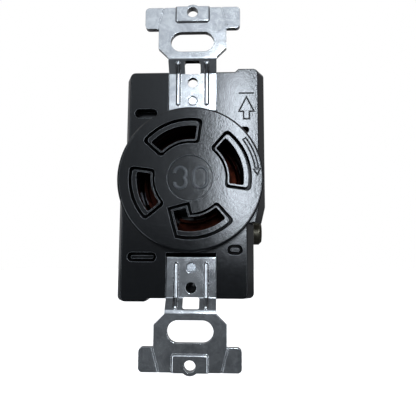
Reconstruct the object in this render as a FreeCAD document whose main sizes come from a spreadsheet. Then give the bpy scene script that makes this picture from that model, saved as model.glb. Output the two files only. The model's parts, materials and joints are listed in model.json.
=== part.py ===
import FreeCAD, Part
import math
import os
import re
import Sketcher
from FreeCAD import Placement, Rotation, Vector

# A 30 A flush-mounting locking receptacle with four curved slots.
# +X is to the right and +Z up, seen from the front; the front faces -Y.
# The origin is on the axis of the round face, in the plane of the back of the strap's ears.

SIZES = {
    # mounting strap, sheet steel
    "sheet_thick": 1.6,
    "strap_half": 6.97,
    "strap_start": 21.0,
    "leg_back": 6.4,
    "inner_front": 0.74,
    "bend_start": 32.9,
    "bend_end": 36.4,
    "bend_shift": 0.49,
    "bend_small": 0.5,
    "bend_large": 2.0,
    "leg_bend": 0.8,
    "neck_half": 7.12,
    "neck_end": 37.0,
    "shoulder_half": 10.05,
    "shoulder_start": 39.86,
    "ear_half": 14.1,
    "ear_start": 45.93,
    "ear_end": 52.5,
    "ear_round": 1.2,
    "box_slot_centre": 41.75,
    "box_slot_length": 12.8,
    "box_slot_width": 6.12,
    "window_half": 2.37,
    "window_start": 32.75,
    "window_end": 36.0,
    "window_round": 0.6,
    "end_hole_centre": 50.7,
    "end_hole_radius": 1.6,
    "end_bulge_radius": 2.7,
    "emboss_half": 5.1,
    "emboss_start": 47.6,
    "emboss_rise": 0.6,
    "emboss_round": 0.9,
    "emboss_edge": 0.55,
    "plate_hole_centre": 30.15,
    "plate_hole_radius": 1.55,
    "screw_centre": 24.49,
    "screw_hole_radius": 1.5,
    "rib_centre": 4.25,
    "rib_half": 0.8,
    "rib_start": 22.9,
    "rib_end": 36.2,
    "rib_rise": 0.5,
    "score_top_half": 10.2,
    "score_end_half": 8.2,
    "score_width": 0.5,
    "score_depth": 0.3,
    # front cover, black moulding
    "cover_thick": 4.0,
    "cover_top": 33.05,
    "cover_lip": 34.0,
    "cover_upper_right": 19.3,
    "cover_lower_right": 15.85,
    "cover_upper_left": 18.45,
    "cover_lower_left": 20.0,
    "cover_corner": 1.5,
    "cover_edge": 0.35,
    "boss_root": 2.2,
    "step_height": 7.0,
    "step_low": 12.2,
    "face_radius": 20.1,
    "face_rise": 6.45,
    "face_edge": 0.6,
    "face_thick": 3.25,
    "centre_radius": 6.26,
    "centre_sink": 0.3,
    "digit_height": 6.5,
    "digit_stroke": 0.8,
    "digit_rise": 0.1,
    "zero_across": 2.86,
    "zero_half": 2.22,
    "three_across": -2.61,
    "three_radius": 2.0,
    "three_turn": 58.0,
    "flange_pocket_depth": 3.0,
    "island_front": 0.7,
    "island_gap": 0.9,
    "mark_half": 0.19,
    "mark_depth": 0.45,
    "up_arrow_across": 15.9,
    "up_arrow_tip": 25.25,
    "up_arrow_neck": 20.9,
    "up_arrow_foot": 18.6,
    "up_bar_rise": 26.25,
    "arrow_head_half": 2.2,
    "arrow_stem_half": 0.85,
    "turn_mark_radius": 18.35,
    "turn_mark_half": 0.45,
    "turn_mark_low": 8.0,
    "turn_mark_high": 36.0,
    "turn_head_half": 0.85,
    "turn_head_angle": 4.8,
    "channel_half": 7.1,
    "channel_start": 20.3,
    "leg_gap_half": 7.0,
    "leg_gap_start": 20.9,
    "leg_gap_end": 23.2,
    "notch_half": 3.2,
    "notch_start": 27.9,
    "screw_way_radius": 1.7,
    # the four slots: hole, raised lip round it, groove round the lip
    "hole_inner": 10.7,
    "hole_outer": 14.7,
    "hole_end": 0.0,
    "hole_round": 0.5,
    "lip_inner": 10.3,
    "lip_outer": 15.9,
    "lip_end": 0.4,
    "lip_round": 0.8,
    "groove_inner": 9.65,
    "groove_outer": 16.85,
    "groove_end": 1.3,
    "groove_round": 1.2,
    "groove_depth": 2.1,
    "line_a_start": 82.5,
    "line_a_end": 137.5,
    "line_b_start": -8.4,
    "line_b_end": 49.0,
    "line_c_start": 173.0,
    "line_c_end": 219.5,
    "earth_start": 256.5,
    "earth_end": 311.6,
    "earth_sector_start": 262.0,
    "foot_turn": 15.0,
    "foot_across": 2.77,
    "foot_drop": 8.6,
    "foot_half": 1.85,
    "foot_overlap": 4.0,
    # rear housing, black moulding
    "rim_thick": 4.0,
    "rim_top": 33.3,
    "rim_lip": 34.25,
    "rim_upper_right": 21.4,
    "rim_lower_right": 17.95,
    "rim_upper_left": 20.1,
    "rim_lower_left": 21.65,
    "rim_corner": 1.5,
    "kink_inset": 1.1,
    "kink_rise": 0.5,
    "lip_start_right": 13.6,
    "lip_start_left": 13.2,
    "core_half": 17.0,
    "core_top": 32.95,
    "core_corner": 1.2,
    "core_edge": 0.6,
    "back_face": 32.0,
    "back_wall": 5.0,
    "bay_inner": 9.2,
    "bay_half": 6.6,
    "notch_back": 14.0,
    "wire_hole_radius": 2.05,
    "wire_mouth_radius": 3.2,
    "wire_mouth_depth": 1.4,
    "counterbore_radius": 3.1,
    "counterbore_depth": 2.8,
    "wall_gap": 0.2,
    "coring_depth": 14.0,
    "coring_rib_half": 0.8,
    "coring_middle_outer": 7.2,
    "coring_middle_end": 17.5,
    "coring_end_inner": 4.6,
    "coring_end_outer": 14.6,
    "coring_end_low": 22.6,
    "coring_end_high": 30.2,
    # copper contacts
    "leaf_thick": 0.8,
    "leaf_inner": 10.9,
    "leaf_outer": 14.3,
    "leaf_front": 3.2,
    "contact_back": 8.0,
    "lead_angle": 6.0,
    "room_angle": 2.5,
    "room_gap": 0.7,
    "link_inner": 9.4,
    "link_low": 8.6,
    "link_high": 13.0,
    "tail_inner": 16.3,
    "tail_outer": 17.5,
    "tail_half": 5.6,
    "tail_back": 19.0,
    "tail_hole_radius": 2.15,
    # steel clip springs round the leaves
    "spring_thick": 0.38,
    "spring_front": 4.6,
    "spring_sweep": 16.0,
    # terminals
    "terminal_height": 14.05,
    "terminal_depth": 14.0,
    "washer_thick": 0.6,
    "washer_radius": 3.95,
    "terminal_head_radius": 3.7,
    "terminal_head_thick": 3.0,
    "terminal_head_edge": 0.8,
    "terminal_shank_radius": 1.95,
    "terminal_recess_width": 1.1,
    "terminal_recess_depth": 1.5,
    "terminal_screw_end": 9.5,
    "screw_tip": 0.3,
    "recess_reach": 0.66,
    "clamp_hole_radius": 2.0,
    "clamp_inner": 10.5,
    "clamp_outer": 12.1,
    "clamp_half": 6.3,
    "clamp_front": 9.2,
    "clamp_back": 18.8,
    "wire_offset": 4.15,
    # assembly screws
    "assembly_shank_radius": 1.45,
    "assembly_head_radius": 2.75,
    "assembly_head_thick": 2.2,
    "assembly_head_edge": 0.6,
    "assembly_recess_width": 0.8,
    "assembly_recess_depth": 1.2,
    # earth bond strip
    "bond_left": 4.0,
    "bond_inner": 9.6,
    "bond_outer": 13.6,
    "bond_high": 11.9,
    "bond_turn": 20.4,
    "bond_low": 23.2,
    "bond_thick": 0.8,
}

UPPER, LOWER = 1, -1
RIGHT, LEFT = 1, -1

# name, side and level of the terminal
POLES = (
    ("line_a", LEFT, UPPER),
    ("line_b", RIGHT, UPPER),
    ("line_c", LEFT, LOWER),
    ("earth", RIGHT, LOWER),
)

doc = FreeCAD.newDocument("locking_receptacle")
sheet = doc.addObject("Spreadsheet::Sheet", "Sizes")
for row, (alias, value) in enumerate(SIZES.items(), start=1):
    sheet.set(f"A{row}", alias)
    sheet.set(f"B{row}", str(value))
    sheet.setAlias(f"B{row}", alias)
doc.recompute()

# How close two places must be to count as the same.
NEAR = 1e-3
# The front view: a sketch's x is +X, its y is +Z and its normal is -Y, towards the viewer.
FRONT_VIEW = Rotation(Vector(1, 0, 0), 90)
# Cylinders and cones stand along their own z, which this turns to +Y, away from the viewer.
INTO_BODY = Rotation(Vector(1, 0, 0), -90)


def number(text):
    """The present value of an expression of the sheet's aliases."""
    return float(sheet.evalExpression(str(text)))


def between(one, other):
    """Two expressions in rising order."""
    return sorted((one, other), key=number)


def bind(item, where, text):
    """Bind a property or a constraint to an expression of the sheet's aliases."""

    def qualified(word):
        return "Sizes." + word.group() if word.group() in SIZES else word.group()

    item.setExpression(where, re.sub(r"[a-z_]+", qualified, str(text)))


# ---------------------------------------------------------------- sketches


def fix_point(sketch, geometry, point, across, up):
    """Hold a point of the sketch at two bound coordinates."""
    for kind, axis, text in (("DistanceX", -2, across), ("DistanceY", -1, up)):
        place = number(text)
        if place == 0:
            sketch.addConstraint(Sketcher.Constraint("PointOnObject", geometry, point, axis))
            continue
        made = sketch.addConstraint(Sketcher.Constraint(kind, -1, 1, geometry, point, place))
        bind(sketch, f"Constraints[{made}]", text)


def draw_polygon(sketch, corners):
    """A closed outline of straight lines, each corner bound."""
    points = [Vector(number(across), number(up), 0) for across, up in corners]
    first = sketch.GeometryCount
    count = len(points)
    for index in range(count):
        sketch.addGeometry(Part.LineSegment(points[index], points[(index + 1) % count]))
    for index in range(count):
        after = first + (index + 1) % count
        sketch.addConstraint(Sketcher.Constraint("Coincident", first + index, 2, after, 1))
        fix_point(sketch, first + index, 1, *corners[index])


def draw_circle(sketch, across, up, radius):
    centre = Vector(number(across), number(up), 0)
    circle = sketch.addGeometry(Part.Circle(centre, Vector(0, 0, 1), number(radius)))
    fix_point(sketch, circle, 3, across, up)
    made = sketch.addConstraint(Sketcher.Constraint("Radius", circle, number(radius)))
    bind(sketch, f"Constraints[{made}]", radius)


def draw_oblong(sketch, across, up, length, width):
    """A slot with round ends, lying along the sketch's x."""
    reach = f"(({length}) - ({width})) / 2"
    radius = number(width) / 2
    centre = Vector(number(across), number(up), 0)
    offset = Vector(number(reach), 0, 0)
    rise = Vector(0, radius, 0)
    quarter = math.pi / 2
    circle_right = Part.Circle(centre + offset, Vector(0, 0, 1), radius)
    circle_left = Part.Circle(centre - offset, Vector(0, 0, 1), radius)
    right = sketch.addGeometry(Part.ArcOfCircle(circle_right, -quarter, quarter))
    left = sketch.addGeometry(Part.ArcOfCircle(circle_left, quarter, 3 * quarter))
    top = sketch.addGeometry(Part.LineSegment(centre + offset + rise, centre - offset + rise))
    bottom = sketch.addGeometry(Part.LineSegment(centre - offset - rise, centre + offset - rise))
    for one, other in ((right, top), (top, left), (left, bottom), (bottom, right)):
        sketch.addConstraint(Sketcher.Constraint("Tangent", one, 2, other, 1))
    for arc, sign in ((right, "+"), (left, "-")):
        fix_point(sketch, arc, 3, f"({across}) {sign} {reach}", up)
        made = sketch.addConstraint(Sketcher.Constraint("Radius", arc, radius))
        bind(sketch, f"Constraints[{made}]", f"({width}) / 2")


def draw_sector(sketch, inner, outer, start, end, overrun="0", centre=("0", "0")):
    """A band between two radii and two angles about a centre, its ends moved outward by an overrun."""
    middle = Vector(number(centre[0]), number(centre[1]), 0)
    radii = (number(inner), number(outer))
    reach = number(overrun)
    turns = []
    for text, sense in ((start, -1), (end, 1)):
        turns.append([math.radians(number(text)) + sense * math.asin(reach / radius) for radius in radii])
    arcs = []
    for text, radius, first, last in zip((inner, outer), radii, *turns):
        circle = Part.Circle(middle, Vector(0, 0, 1), radius)
        arc = sketch.addGeometry(Part.ArcOfCircle(circle, first, last))
        fix_point(sketch, arc, 3, *centre)
        made = sketch.addConstraint(Sketcher.Constraint("Radius", arc, radius))
        bind(sketch, f"Constraints[{made}]", text)
        arcs.append(arc)
    for text, ends, end_point in zip((start, end), turns, (1, 2)):
        rays = [Vector(math.cos(turn), math.sin(turn), 0) for turn in ends]
        points = [middle + ray * radius for ray, radius in zip(rays, radii)]
        line = sketch.addGeometry(Part.LineSegment(*points))
        sketch.addConstraint(Sketcher.Constraint("Coincident", line, 1, arcs[0], end_point))
        sketch.addConstraint(Sketcher.Constraint("Coincident", line, 2, arcs[1], end_point))
        made = sketch.addConstraint(Sketcher.Constraint("Angle", line, math.radians(number(text))))
        bind(sketch, f"Constraints[{made}]", f"({text}) * 1 deg")
        if reach == 0:
            sketch.addConstraint(Sketcher.Constraint("PointOnObject", arcs[0], 3, line))
            continue
        made = sketch.addConstraint(Sketcher.Constraint("Distance", arcs[0], 3, line, reach))
        bind(sketch, f"Constraints[{made}]", overrun)


def front_sketch(name, depth):
    """A free sketch in the front view, at a bound depth."""
    sketch = doc.addObject("Sketcher::SketchObject", name)
    sketch.Placement = Placement(Vector(0, number(depth), 0), FRONT_VIEW)
    bind(sketch, "Placement.Base.y", depth)
    return sketch


# ---------------------------------------------------------------- solids of the Part workbench


def extrude(outline, length):
    """Extrude a front-view outline into the body, along +Y."""
    solid = doc.addObject("Part::Extrusion", outline.Name + "_solid")
    solid.Base = outline
    solid.DirMode = "Custom"
    solid.Dir = Vector(0, 1, 0)
    solid.Solid = True
    solid.LengthFwd = number(length)
    bind(solid, "LengthFwd", length)
    return solid


def sector(name, inner, outer, start, end, front, back, overrun="0", centre=("0", "0")):
    sketch = front_sketch(name, front)
    draw_sector(sketch, inner, outer, start, end, overrun, centre)
    return extrude(sketch, f"({back}) - ({front})")


def prism(name, corners, front, back):
    sketch = front_sketch(name, front)
    draw_polygon(sketch, corners)
    return extrude(sketch, f"({back}) - ({front})")


def oblong(name, across, up, length, width, front, back):
    sketch = front_sketch(name, front)
    draw_oblong(sketch, across, up, length, width)
    return extrude(sketch, f"({back}) - ({front})")


def ring_arc(name, across, up, depth, radius, tube, start, sweep):
    """Part of a round-sectioned ring that lies in the front view."""
    ring = doc.addObject("Part::Torus", name)
    for prop, text in (("Radius1", radius), ("Radius2", tube), ("Angle3", sweep)):
        setattr(ring, prop, number(text))
        bind(ring, prop, text)
    ring.Placement = Placement(Vector(0, 0, 0), FRONT_VIEW * Rotation(Vector(0, 0, 1), number(start)))
    for axis, text in zip("xyz", (across, depth, up)):
        bind(ring, "Placement.Base." + axis, text)
    return ring


def upright_bar(name, across, up, depth, radius, length):
    """A round bar that stands along +Z from its lower end."""
    bar = doc.addObject("Part::Cylinder", name)
    for prop, text in (("Radius", radius), ("Height", length)):
        setattr(bar, prop, number(text))
        bind(bar, prop, text)
    for axis, text in zip("xyz", (across, depth, up)):
        bind(bar, "Placement.Base." + axis, text)
    return bar


def block(name, low, high):
    """A box between two bound corners."""
    box = doc.addObject("Part::Box", name)
    for side, base, first, last in zip(("Length", "Width", "Height"), "xyz", low, high):
        setattr(box, side, number(f"({last}) - ({first})"))
        bind(box, side, f"({last}) - ({first})")
        bind(box, "Placement.Base." + base, first)
    return box


def rod(name, across, up, radius, front, back, tip_radius=None):
    """A cylinder along +Y, or a cone when the radius at its back differs."""
    solid = doc.addObject("Part::Cone" if tip_radius else "Part::Cylinder", name)
    radii = (("Radius1", radius), ("Radius2", tip_radius)) if tip_radius else (("Radius", radius),)
    for prop, text in radii:
        setattr(solid, prop, number(text))
        bind(solid, prop, text)
    solid.Height = number(f"({back}) - ({front})")
    bind(solid, "Height", f"({back}) - ({front})")
    solid.Placement = Placement(Vector(number(across), number(front), number(up)), INTO_BODY)
    for axis, text in zip("xyz", (across, front, up)):
        bind(solid, "Placement.Base." + axis, text)
    return solid


def fuse(name, shapes):
    joined = doc.addObject("Part::MultiFuse", name)
    joined.Shapes = list(shapes)
    joined.Refine = True
    return joined


def cut(name, base, tools):
    """The base less the tools, with the name as its label."""
    result = doc.addObject("Part::Cut", name)
    result.Base = base
    result.Tool = tools[0] if len(tools) == 1 else fuse(name + "_tools", tools)
    result.Refine = True
    return result


def rounded(solid, radius):
    """The solid with its edges along Y rounded."""
    doc.recompute()
    made = doc.addObject("Part::Fillet", solid.Name + "_rounded")
    made.Base = solid
    blend = number(radius)
    edges = enumerate(solid.Shape.Edges, start=1)
    made.Edges = [(index, blend, blend) for index, edge in edges if lies_along(edge, 1)]
    return made


def sector_groove(name, inner, outer, start, end, front, depth):
    """A groove of the marks' width along a band's outline."""
    back = f"{front} + {depth}"
    turn_in = "mark_half * 360 / (3.1416 * turn_mark_radius)"
    wide = (f"{inner} - mark_half", f"{outer} + mark_half", start, end)
    narrow = (f"{inner} + mark_half", f"{outer} - mark_half", f"{start} + {turn_in}", f"{end} - {turn_in}")
    ring = sector(name + "_outer", *wide, front, back, "mark_half")
    island = sector(name + "_inner", *narrow, front, back, "mark_half")
    return cut(name, ring, [island])


def offset_corners(corners, distance):
    """The corners of a polygon moved outward; the corners go round clockwise."""
    points = [Vector(number(across), number(up), 0) for across, up in corners]
    moved = []
    for before, here, after in zip(points[-1:] + points[:-1], points, points[1:] + points[:1]):
        first = (here - before).normalize()
        second = (after - here).normalize()
        normals = [Vector(-step.y, step.x, 0) for step in (first, second)]
        mitre = (normals[0] + normals[1]).normalize()
        place = here + mitre * (distance / mitre.dot(normals[0]))
        moved.append((f"{place.x:.3f}", f"{place.y:.3f}"))
    return moved


def polygon_groove(name, corners, front, depth):
    """A groove of the marks' width along a polygon's outline."""
    half = number("mark_half")
    back = f"{front} + {depth}"
    ring = prism(name + "_outer", offset_corners(corners, half), front, back)
    island = prism(name + "_inner", offset_corners(corners, -half), front, back)
    return cut(name, ring, [island])


# ---------------------------------------------------------------- bodies of the PartDesign workbench


def new_body(name):
    return doc.addObject("PartDesign::Body", name)


def plane_sketch(body, role, offset="0"):
    """A sketch of the body on one of its origin planes, shifted along the plane's normal."""
    plane = next(item for item in body.Origin.OriginFeatures if item.Role == role)
    sketch = body.newObject("Sketcher::SketchObject", body.Name + "_sketch")
    sketch.AttachmentSupport = [(plane, "")]
    sketch.MapMode = "FlatFace"
    bind(sketch, "AttachmentOffset.Base.z", offset)
    return sketch


def pad(body, sketch, length, backwards=False):
    made = body.newObject("PartDesign::Pad", body.Name + "_pad")
    made.Profile = sketch
    made.Length = number(length)
    bind(made, "Length", length)
    made.Reversed = backwards
    doc.recompute()
    return made


def pocket(body, sketch, length=None):
    """A pocket against the sketch's normal, or through everything both ways when it has no length."""
    before = body.Shape.Volume
    made = body.newObject("PartDesign::Pocket", body.Name + "_pocket")
    made.Profile = sketch
    if length is None:
        made.Type = "ThroughAll"
        made.Midplane = True
    else:
        made.Length = number(length)
        bind(made, "Length", length)
    doc.recompute()
    assert body.Shape.Volume < before, f"{made.Name} cuts nothing"
    return made


def round_edges(body, feature, chosen, radius):
    """Fillet the feature's edges that the test picks."""
    names = [f"Edge{index}" for index, edge in enumerate(feature.Shape.Edges, start=1) if chosen(edge)]
    assert names, f"no edge to round on {feature.Name}"
    made = body.newObject("PartDesign::Fillet", body.Name + "_fillet")
    made.Base = (feature, names)
    made.Radius = number(radius)
    bind(made, "Radius", radius)
    doc.recompute()
    return made


def lies_along(edge, axis):
    """Whether a straight edge is parallel to an axis, given as 0, 1 or 2."""
    ends = [vertex.Point for vertex in edge.Vertexes]
    if len(ends) != 2 or not isinstance(edge.Curve, Part.Line):
        return False
    step = ends[1] - ends[0]
    return all(abs(step[other]) < 1e-6 for other in range(3) if other != axis)


def edge_at(axis, *places):
    """A test for straight edges along an axis that pass through one of the given places.

    A place holds the two other coordinates, in X, Y, Z order."""
    others = [other for other in range(3) if other != axis]

    def chosen(edge):
        if not lies_along(edge, axis):
            return False
        point = edge.Vertexes[0].Point
        gaps = [max(abs(point[other] - want) for other, want in zip(others, place)) for place in places]
        return min(gaps) < NEAR

    return chosen


def lies_at_depth(depth):
    """A test for edges whose ends are at one depth."""
    return lambda edge: all(abs(vertex.Point.y - depth) < NEAR for vertex in edge.Vertexes)


# ---------------------------------------------------------------- mounting strap


def strap_plate(name, level):
    """The bent plate: its front view padded to its full depth, then cut to its side view."""
    body = new_body(name)

    def up(text):
        return f"{level} * ({text})"

    half_outline = (
        ("strap_half", "strap_start"),
        ("neck_half", "neck_end"),
        ("shoulder_half", "shoulder_start"),
        ("shoulder_half", "ear_start"),
        ("ear_half", "ear_start"),
        ("ear_half", "ear_end"),
    )
    outline = [(across, up(along)) for across, along in half_outline]
    outline += [(f"0 - {across}", up(along)) for across, along in reversed(half_outline)]
    sketch = plane_sketch(body, "XZ_Plane", "0 - leg_back")
    draw_polygon(sketch, outline)
    plate = pad(body, sketch, "leg_back + sheet_thick")
    ear_half, ear_start, ear_end = (number(text) for text in ("ear_half", "ear_start", "ear_end"))
    heights = (level * ear_start, level * ear_end)
    corners = [(side * ear_half, height) for side in (RIGHT, LEFT) for height in heights]
    round_edges(body, plate, edge_at(1, *corners), "ear_round")

    in_front = (
        ("inner_front", "strap_start - 2"),
        ("inner_front", "bend_start"),
        ("0 - sheet_thick", "bend_end"),
        ("0 - sheet_thick - 2", "bend_end"),
        ("0 - sheet_thick - 2", "strap_start - 2"),
    )
    behind = (
        ("inner_front + sheet_thick", "strap_start + sheet_thick"),
        ("inner_front + sheet_thick", "bend_start + bend_shift"),
        ("0", "bend_end + bend_shift"),
        ("0", "ear_end + 2"),
        ("leg_back + 2", "ear_end + 2"),
        ("leg_back + 2", "strap_start + sheet_thick"),
    )
    for side_view in (in_front, behind):
        sketch = plane_sketch(body, "YZ_Plane")
        draw_polygon(sketch, [(along, up(height)) for along, height in side_view])
        feature = pocket(body, sketch)

    front, back = number("inner_front"), number("inner_front + sheet_thick")
    tight = [
        (front, level * number("bend_start")),
        (0, level * number("bend_end + bend_shift")),
        (back, level * number("strap_start + sheet_thick")),
    ]
    wide = [
        (back, level * number("bend_start + bend_shift")),
        (-number("sheet_thick"), level * number("bend_end")),
    ]
    feature = round_edges(body, feature, edge_at(0, *tight), "bend_small")
    feature = round_edges(body, feature, edge_at(0, *wide), "bend_large")
    feature = round_edges(body, feature, edge_at(0, (front, level * number("strap_start"))), "leg_bend")

    sketch = plane_sketch(body, "XZ_Plane", "0")
    draw_circle(sketch, "0", up("end_hole_centre"), "end_bulge_radius")
    pad(body, sketch, "sheet_thick")
    emboss = (
        ("emboss_half", "emboss_start"),
        ("emboss_half", "ear_end"),
        ("0 - emboss_half", "ear_end"),
        ("0 - emboss_half", "emboss_start"),
    )
    sketch = plane_sketch(body, "XZ_Plane", "sheet_thick")
    draw_polygon(sketch, [(across, up(along)) for across, along in emboss])
    feature = pad(body, sketch, "emboss_rise")
    corners = [(side * number("emboss_half"), level * number("emboss_start")) for side in (RIGHT, LEFT)]
    feature = round_edges(body, feature, edge_at(1, *corners), "emboss_round")
    rise = -number("sheet_thick + emboss_rise")

    def at_rise(edge):
        middle = edge.CenterOfMass
        return abs(middle.y - rise) < NEAR and abs(middle.z) < number("ear_end - emboss_edge / 2")

    feature = round_edges(body, feature, at_rise, "emboss_edge")
    sketch = plane_sketch(body, "XZ_Plane", "sheet_thick + emboss_rise")
    draw_circle(sketch, "0", up("end_hole_centre"), "end_hole_radius")
    pocket(body, sketch)

    sketch = plane_sketch(body, "XZ_Plane", "sheet_thick")
    draw_oblong(sketch, "0", up("box_slot_centre"), "box_slot_length", "box_slot_width")
    draw_circle(sketch, "0", up("plate_hole_centre"), "plate_hole_radius")
    draw_circle(sketch, "0", up("screw_centre"), "screw_hole_radius")
    pocket(body, sketch)

    window = (("window_half", "window_start"), ("window_half", "window_end"))
    window += tuple((f"0 - {across}", along) for across, along in reversed(window))
    sketch = plane_sketch(body, "XZ_Plane", "sheet_thick")
    draw_polygon(sketch, [(across, up(along)) for across, along in window])
    feature = pocket(body, sketch)
    heights = (level * number("window_start"), level * number("window_end"))
    corners = [(side * number("window_half"), height) for side in (RIGHT, LEFT) for height in heights]
    round_edges(body, feature, edge_at(1, *corners), "window_round")

    sketch = plane_sketch(body, "XZ_Plane", "sheet_thick")
    for side in (RIGHT, LEFT):
        score = (
            ("score_top_half", "ear_start - 0.2"),
            ("score_top_half + score_width", "ear_start - 0.2"),
            ("score_end_half + score_width", "ear_end + 0.5"),
            ("score_end_half", "ear_end + 0.5"),
        )
        draw_polygon(sketch, [(f"{side} * ({across})", up(along)) for across, along in score])
    pocket(body, sketch, "score_depth")
    return body


def strap_rib(name, side, level):
    """A pressed rib: a bead of round section along the plate and up the bend."""
    radius = number("rib_half")
    sink = number("rib_half - rib_rise")
    across = side * number("rib_centre")
    bend_slope = math.atan2(number("inner_front + sheet_thick"), number("bend_end - bend_start"))
    start = Vector(across, number("inner_front") + sink, level * number("rib_start + rib_half"))
    turn = Vector(across, start.y, level * (number("bend_start") + sink * math.tan(bend_slope / 2)))
    climb = number("rib_end - rib_half") - abs(turn.z)
    end = Vector(across, turn.y - climb * math.tan(bend_slope), level * (abs(turn.z) + climb))
    pieces = []
    for index, place in enumerate((start, turn, end)):
        ball = doc.addObject("Part::Sphere", f"{name}_ball_{index}")
        ball.Radius = radius
        bind(ball, "Radius", "rib_half")
        ball.Placement = Placement(place, Rotation())
        pieces.append(ball)
    for index, (first, last) in enumerate(((start, turn), (turn, end))):
        run = doc.addObject("Part::Cylinder", f"{name}_run_{index}")
        run.Radius = radius
        bind(run, "Radius", "rib_half")
        run.Height = (last - first).Length
        run.Placement = Placement(first, Rotation(Vector(0, 0, 1), last - first))
        pieces.append(run)
    return pieces


def strap(name, level):
    pieces = [strap_plate(name + "_plate", level)]
    for side, word in ((LEFT, "left"), (RIGHT, "right")):
        pieces += strap_rib(f"{name}_{word}_rib", side, level)
    return fuse(name, pieces)


# ---------------------------------------------------------------- mouldings


def outline(part):
    """The outline of the cover's face or of the rim, wider and with a low lip at two far corners."""
    upper_right, lower_right, upper_left, lower_left, top, lip = (
        f"{part}_{place}" for place in ("upper_right", "lower_right", "upper_left", "lower_left", "top", "lip")
    )
    return (
        (upper_right, lip),
        (upper_right, "0 - step_height"),
        (f"{upper_right} - kink_inset", "kink_rise - step_low"),
        (lower_right, "0 - step_low"),
        (lower_right, f"0 - {top}"),
        ("1 - lip_start_left", f"0 - {top}"),
        ("0 - lip_start_left", f"0 - {lip}"),
        (f"0 - {lower_left}", f"0 - {lip}"),
        (f"0 - {lower_left}", "step_height"),
        (f"0 - {upper_left}", "step_height + 1"),
        (f"0 - {upper_left}", top),
        ("lip_start_right - 1", top),
        ("lip_start_right", lip),
    )


def far_corners(corners, height):
    """Places of the outline's corners that are at least so far up or down."""
    places = [(number(across), number(along)) for across, along in corners]
    far_out = number("(core_half + lip_start_right) / 2")
    return [place for place in places if abs(place[1]) >= number(height) - NEAR and abs(place[0]) > far_out]


def cover_blank():
    """The flange, whose sides slope out to the rim, with the round boss."""
    body = new_body("cover_blank")
    edge_sketch = plane_sketch(body, "XZ_Plane", "0 - cover_thick")
    draw_polygon(edge_sketch, outline("rim"))
    face_sketch = plane_sketch(body, "XZ_Plane")
    draw_polygon(face_sketch, outline("cover"))
    flange = body.newObject("PartDesign::AdditiveLoft", "flange")
    flange.Profile = edge_sketch
    flange.Sections = [face_sketch]
    flange.Ruled = True
    doc.recompute()
    corners = far_corners(outline("cover"), "cover_top")

    def slopes_at_corner(edge):
        """Whether an edge runs back from one of the face's outer corners."""
        ends = sorted((vertex.Point for vertex in edge.Vertexes), key=lambda point: point.y)
        if len(ends) != 2 or ends[1].y - ends[0].y < 1:
            return False
        return any(abs(ends[0].x - across) + abs(ends[0].z - up) < NEAR for across, up in corners)

    flange = round_edges(body, flange, slopes_at_corner, "cover_corner")
    round_edges(body, flange, lies_at_depth(0), "cover_edge")
    sketch = plane_sketch(body, "XZ_Plane", "0 - boss_root")
    draw_circle(sketch, "0", "0", "face_radius")
    boss = pad(body, sketch, "boss_root + face_rise")
    face = -number("face_rise")
    round_edges(body, boss, lambda edge: abs(edge.CenterOfMass.y - face) < NEAR, "face_edge")
    return body


def foot_corners(grow, radius):
    """The foot of the earth slot, for the hook of the plug's blade: a turned rectangle, out to a radius."""
    turn = math.radians(number("foot_turn"))
    along = Vector(math.sin(turn), -math.cos(turn), 0)
    across = Vector(math.cos(turn), math.sin(turn), 0)
    top = Vector(-number("foot_across"), -number("foot_drop"), 0) - along * grow
    reach = across * (number("foot_half") + grow)

    def out_to(start, distance):
        step = start.dot(along)
        return start + along * (math.sqrt(step * step - start.dot(start) + distance * distance) - step)

    angle = math.radians(number("earth_sector_start + foot_overlap"))
    inside = number("hole_inner + hole_outer") / 2
    places = (
        top - reach,
        top + reach,
        out_to(top + reach, inside),
        Vector(math.cos(angle), math.sin(angle), 0) * radius,
        out_to(top - reach, radius),
    )
    return [(f"{place.x:.3f}", f"{place.y:.3f}") for place in places]


def slot_region(name, label, front, back):
    """A slot's hole, its lip or the groove round the lip, as a solid between two depths."""
    inner, outer, margin, corner = (f"{label}_{size}" for size in ("inner", "outer", "end", "round"))
    start = "earth_sector_start" if name == "earth" else name + "_start"
    band = sector(f"{name}_{label}_band", inner, outer, start, name + "_end", front, back, overrun=margin)
    band = rounded(band, corner)
    if name != "earth":
        return band
    foot = prism(f"{name}_{label}_foot", foot_corners(number(margin), number(outer)), front, back)
    return fuse(f"{name}_{label}", [band, foot])


def slot_tools(name):
    """One curved slot: its hole and the groove round its lip."""
    face = "0 - face_rise"
    hole = slot_region(name, "hole", face + " - 1", "1 - face_rise + face_thick")
    groove_back = face + " + groove_depth"
    ring = slot_region(name, "groove", face, groove_back)
    lip = slot_region(name, "lip", face, groove_back)
    return [hole, cut(name + "_ring", ring, [lip])]


def chamber_tools(name, front, back, part):
    """Room for one contact and its spring, in the cover or in the housing."""
    start, end = f"{name}_start - lead_angle - room_angle", f"{name}_end + room_angle"
    band = ("leaf_inner - room_gap", "leaf_outer + room_gap", start, end)
    room = sector(f"{name}_{part}_room", *band, front, back)
    if name != "earth":
        return [room]
    corners = foot_corners(number("room_gap"), number("leaf_outer + room_gap"))
    return [room, prism(f"{name}_{part}_foot_room", corners, front, back)]


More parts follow.
